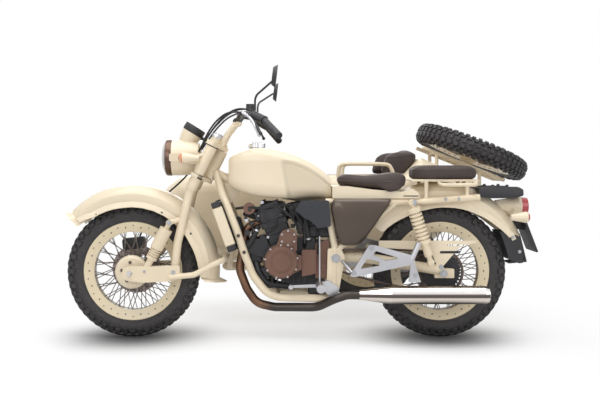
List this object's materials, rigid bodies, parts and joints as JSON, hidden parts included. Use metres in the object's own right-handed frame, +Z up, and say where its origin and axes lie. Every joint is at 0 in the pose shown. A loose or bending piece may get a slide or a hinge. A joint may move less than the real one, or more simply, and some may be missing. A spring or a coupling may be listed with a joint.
{
  "type": "sidecar motorcycle",
  "caption": "Motorcycle with a leading-link fork, spoked wheels and a hollow one-seat sidecar on its right, with its spare wheel on a rear rack.",
  "frame": {"origin": "middle of the bounding box's underside, on the floor", "axes": "+X to the rear, +Y to the sidecar on the right, +Z up"},
  "size_m": [2.4862, 1.703, 1.3069],
  "materials": {
    "cream": "gloss",
    "brown": "gloss",
    "engine_brown": "satin",
    "black": "satin",
    "tyre": "matte",
    "leather": "matte",
    "chrome": "polished",
    "bronze": "polished",
    "silver": "satin",
    "steel": "satin",
    "plastic": "matte",
    "lamp": "gloss"
  },
  "bodies": {
    "chassis": {"air_cover": "plastic", "chain_guard": "cream", "drive_chain": "steel", "engine_block": "black", "engine_covers": "engine_brown", "exhaust_header": "bronze", "filler_cap": "chrome", "footrests": "plastic", "fuel_tank": "cream", "gear_lever": "silver", "grab_rails": "cream", "luggage_rack": "plastic", "main_frame": "cream", "peg_trusses": "silver", "pillion_frame": "cream", "pillion_seat": "leather", "radiator": "cream", "rear_calipers": "black", "rear_fender": "cream", "rear_flap": "plastic", "rear_shocks": "cream", "rider_seat": "leather", "seat_cowl": "cream", "side_covers": "brown", "sidecar_backrest": "leather", "sidecar_chassis": "cream", "sidecar_fender": "cream", "sidecar_lamps": "cream", "sidecar_seat": "leather", "sidecar_tub": "cream", "silencer": "chrome", "spare_carrier": "cream", "spare_tyre": "tyre", "spare_wheel": "cream", "swingarm": "cream", "tail_lamps": "cream", "tail_lenses": "lamp"},
    "steering": {"fork": "cream", "leading_link": "cream", "front_shocks": "cream", "front_fender": "cream", "headlamp": "cream", "instrument": "plastic", "handlebar": "cream", "controls": "plastic", "mirrors": "plastic", "front_indicators": "cream", "control_cables": "plastic", "front_caliper": "black"},
    "front_wheel": {"front_tyre": "tyre", "front_wheel": "cream", "front_brake_disc": "steel", "front_hub_cover": "cream"},
    "rear_wheel": {"rear_tyre": "tyre", "rear_wheel": "cream", "rear_brake_disc": "steel", "rear_sprocket": "steel"},
    "sidecar_wheel": {"sidecar_tyre": "tyre", "sidecar_wheel": "cream", "sidecar_brake_disc": "steel"}
  },
  "joints": [
    {"name": "steering_turn", "type": "hinge", "parent": "chassis", "child": "steering", "pos_m": [-0.46398, -0.3785, 0.92943], "axis": [0.4462, 0, 0.8949], "range_deg": [-35, 35]},
    {"name": "front_wheel_spin", "type": "hinge", "parent": "steering", "child": "front_wheel", "pos_m": [-0.90198, -0.3785, 0.32943], "axis": [0, 1, 0], "continuous": true},
    {"name": "rear_wheel_spin", "type": "hinge", "parent": "chassis", "child": "rear_wheel", "pos_m": [0.61802, -0.3785, 0.32943], "axis": [0, 1, 0], "continuous": true},
    {"name": "sidecar_wheel_spin", "type": "hinge", "parent": "chassis", "child": "sidecar_wheel", "pos_m": [0.36802, 0.7515, 0.32943], "axis": [0, 1, 0], "continuous": true}
  ]
}
